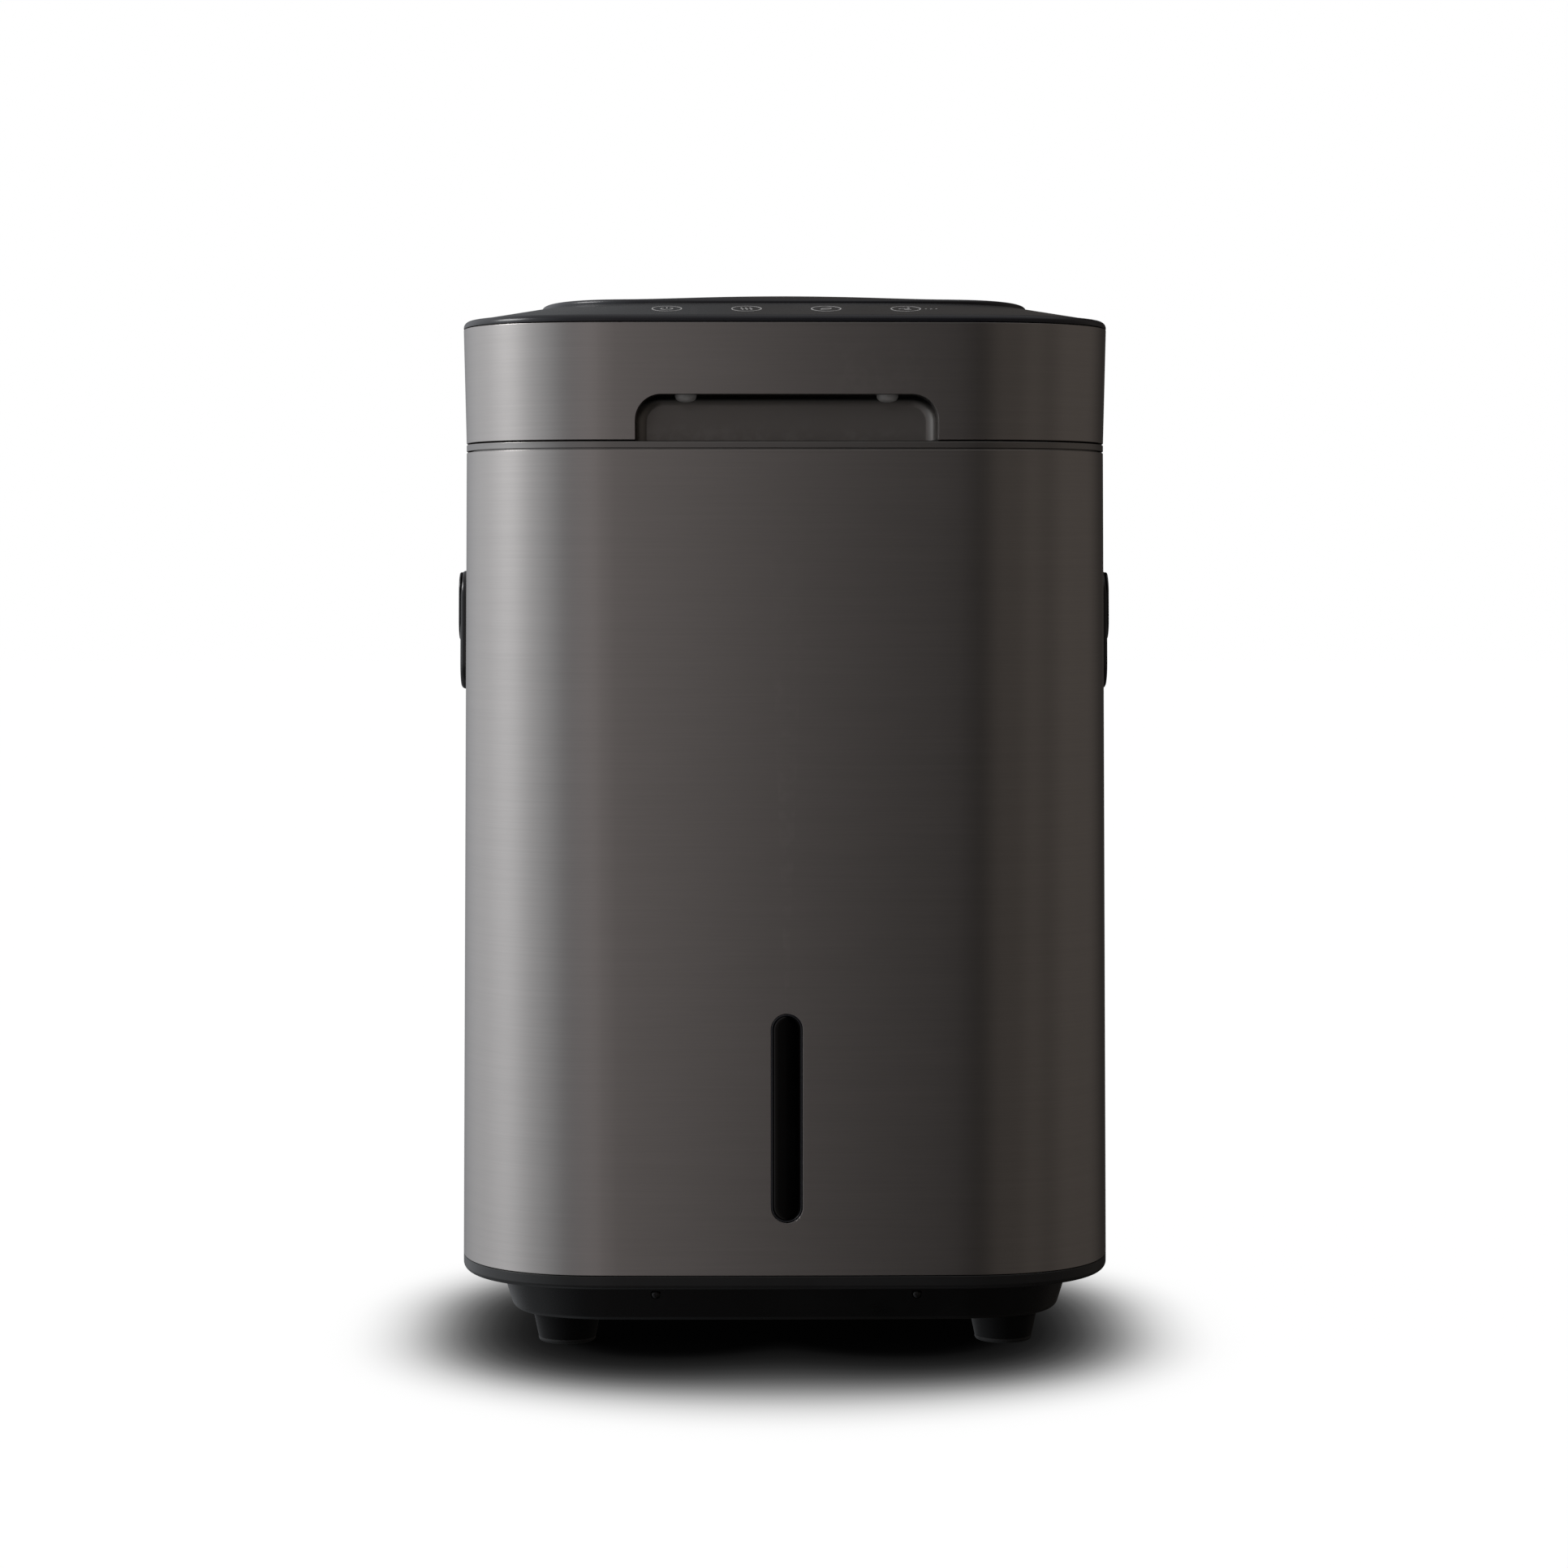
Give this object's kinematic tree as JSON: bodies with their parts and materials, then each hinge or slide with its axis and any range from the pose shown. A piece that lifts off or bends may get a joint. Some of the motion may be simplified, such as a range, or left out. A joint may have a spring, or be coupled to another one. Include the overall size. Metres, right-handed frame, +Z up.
{
  "type": "electric food waste composter",
  "caption": "Tall rounded countertop-height composter: hinged lid with touch panel, stirred steel tank, geared drive and rear filter drawer.",
  "frame": {"origin": "on the floor under the middle of the body", "axes": "+Z up, front faces -Y, +X to the right when looking at the front"},
  "size_m": [0.3406, 0.375, 0.5411],
  "materials": {
    "shell_metal": "satin, fine horizontal brushing, titanium grey",
    "rim_grey": "satin",
    "trim_black": "fine satin texture",
    "gloss_black": "polished black",
    "deck_grey": "satin touch panel",
    "dark_plastic": "satin, slightly lighter than the trim",
    "stainless_steel": "brushed",
    "plated_steel": "zinc plated",
    "cast_aluminium": "cast, bead blasted",
    "rubber_black": "matt",
    "silicone_grey": "soft silicone",
    "nylon_ivory": "natural nylon",
    "circuit_green": "solder mask",
    "brass": "turned",
    "carbon_black": "granular carbon in a mesh bag",
    "plug_grey": "soft light grey plug",
    "heater_orange": "silicone heating mat"
  },
  "bodies": {
    "cabinet": {"body_shell": "shell_metal", "base_ring": "trim_black", "base_pan": "trim_black", "feet": "trim_black", "foot_pads": "rubber_black", "pan_screws": "plated_steel", "rim_frame": "rim_grey", "window_bezel": "gloss_black", "sensor_window": "gloss_black", "sensor_board": "circuit_green", "handle_frame_left": "dark_plastic", "handle_frame_right": "dark_plastic", "handle_grip_left": "dark_plastic", "handle_grip_right": "dark_plastic", "back_panel": "trim_black", "panel_screws": "plated_steel", "power_inlet": "gloss_black", "inlet_pins": "brass", "tank": "stainless_steel", "tank_seal": "silicone_grey", "heater_pad": "heater_orange", "side_plate_left": "plated_steel", "side_plate_right": "plated_steel", "shaft_bushings": "nylon_ivory", "shaft_seals": "rubber_black", "idler_axle": "plated_steel", "gear_motor": "cast_aluminium", "motor_screws": "plated_steel", "fan_frame": "trim_black", "fan_duct": "dark_plastic", "filter_housing": "dark_plastic", "main_board": "circuit_green", "board_parts": "trim_black", "board_standoffs": "brass", "power_supply": "cast_aluminium", "hinge_housing": "trim_black", "lid_motor": "cast_aluminium"},
    "stirrer": {"agitator_shaft": "stainless_steel", "paddles": "stainless_steel", "driven_gear": "nylon_ivory", "shaft_clips": "plated_steel"},
    "idler": {"idler_gear": "nylon_ivory"},
    "drive_pinion": {"motor_shaft": "plated_steel", "motor_pinion": "brass"},
    "fan": {"fan_rotor": "trim_black"},
    "filter_unit": {"filter_drawer": "trim_black", "carbon_block": "carbon_black", "filter_seal": "silicone_grey"},
    "lid": {"hinge_shafts": "plated_steel", "lid_hinge_arms": "trim_black", "lid_shell": "shell_metal", "lid_band": "gloss_black", "lid_deck": "deck_grey", "lid_dome": "gloss_black", "grip_cup": "dark_plastic", "grip_plugs": "plug_grey", "lid_liner": "dark_plastic", "lid_gasket": "silicone_grey", "control_board": "circuit_green"}
  },
  "joints": [
    {"name": "lid_hinge", "type": "hinge", "parent": "cabinet", "child": "lid", "pos_m": [0, 0.18, 0.4681], "axis": [-1, 0, 0], "range_deg": [0, 85]},
    {"name": "stirrer_spin", "type": "hinge", "parent": "cabinet", "child": "stirrer", "pos_m": [0, -0.02, 0.3], "axis": [1, 0, 0], "continuous": true},
    {"name": "idler_spin", "type": "hinge", "parent": "cabinet", "child": "idler", "pos_m": [0.1355, -0.02, 0.1999], "axis": [1, 0, 0], "continuous": true},
    {"name": "pinion_spin", "type": "hinge", "parent": "cabinet", "child": "drive_pinion", "pos_m": [0.1355, -0.02, 0.1498], "axis": [1, 0, 0], "continuous": true},
    {"name": "fan_spin", "type": "hinge", "parent": "cabinet", "child": "fan", "pos_m": [0, 0.1654, 0.3011], "axis": [0, 1, 0], "continuous": true},
    {"name": "filter_slide", "type": "slide", "parent": "cabinet", "child": "filter_unit", "axis": [0, 1, 0], "range_m": [0, 0.075]}
  ],
  "couplings": [
    {"joint": "idler_spin", "follows": "stirrer_spin", "ratio": -2.125},
    {"joint": "pinion_spin", "follows": "stirrer_spin", "ratio": 3.7778}
  ]
}
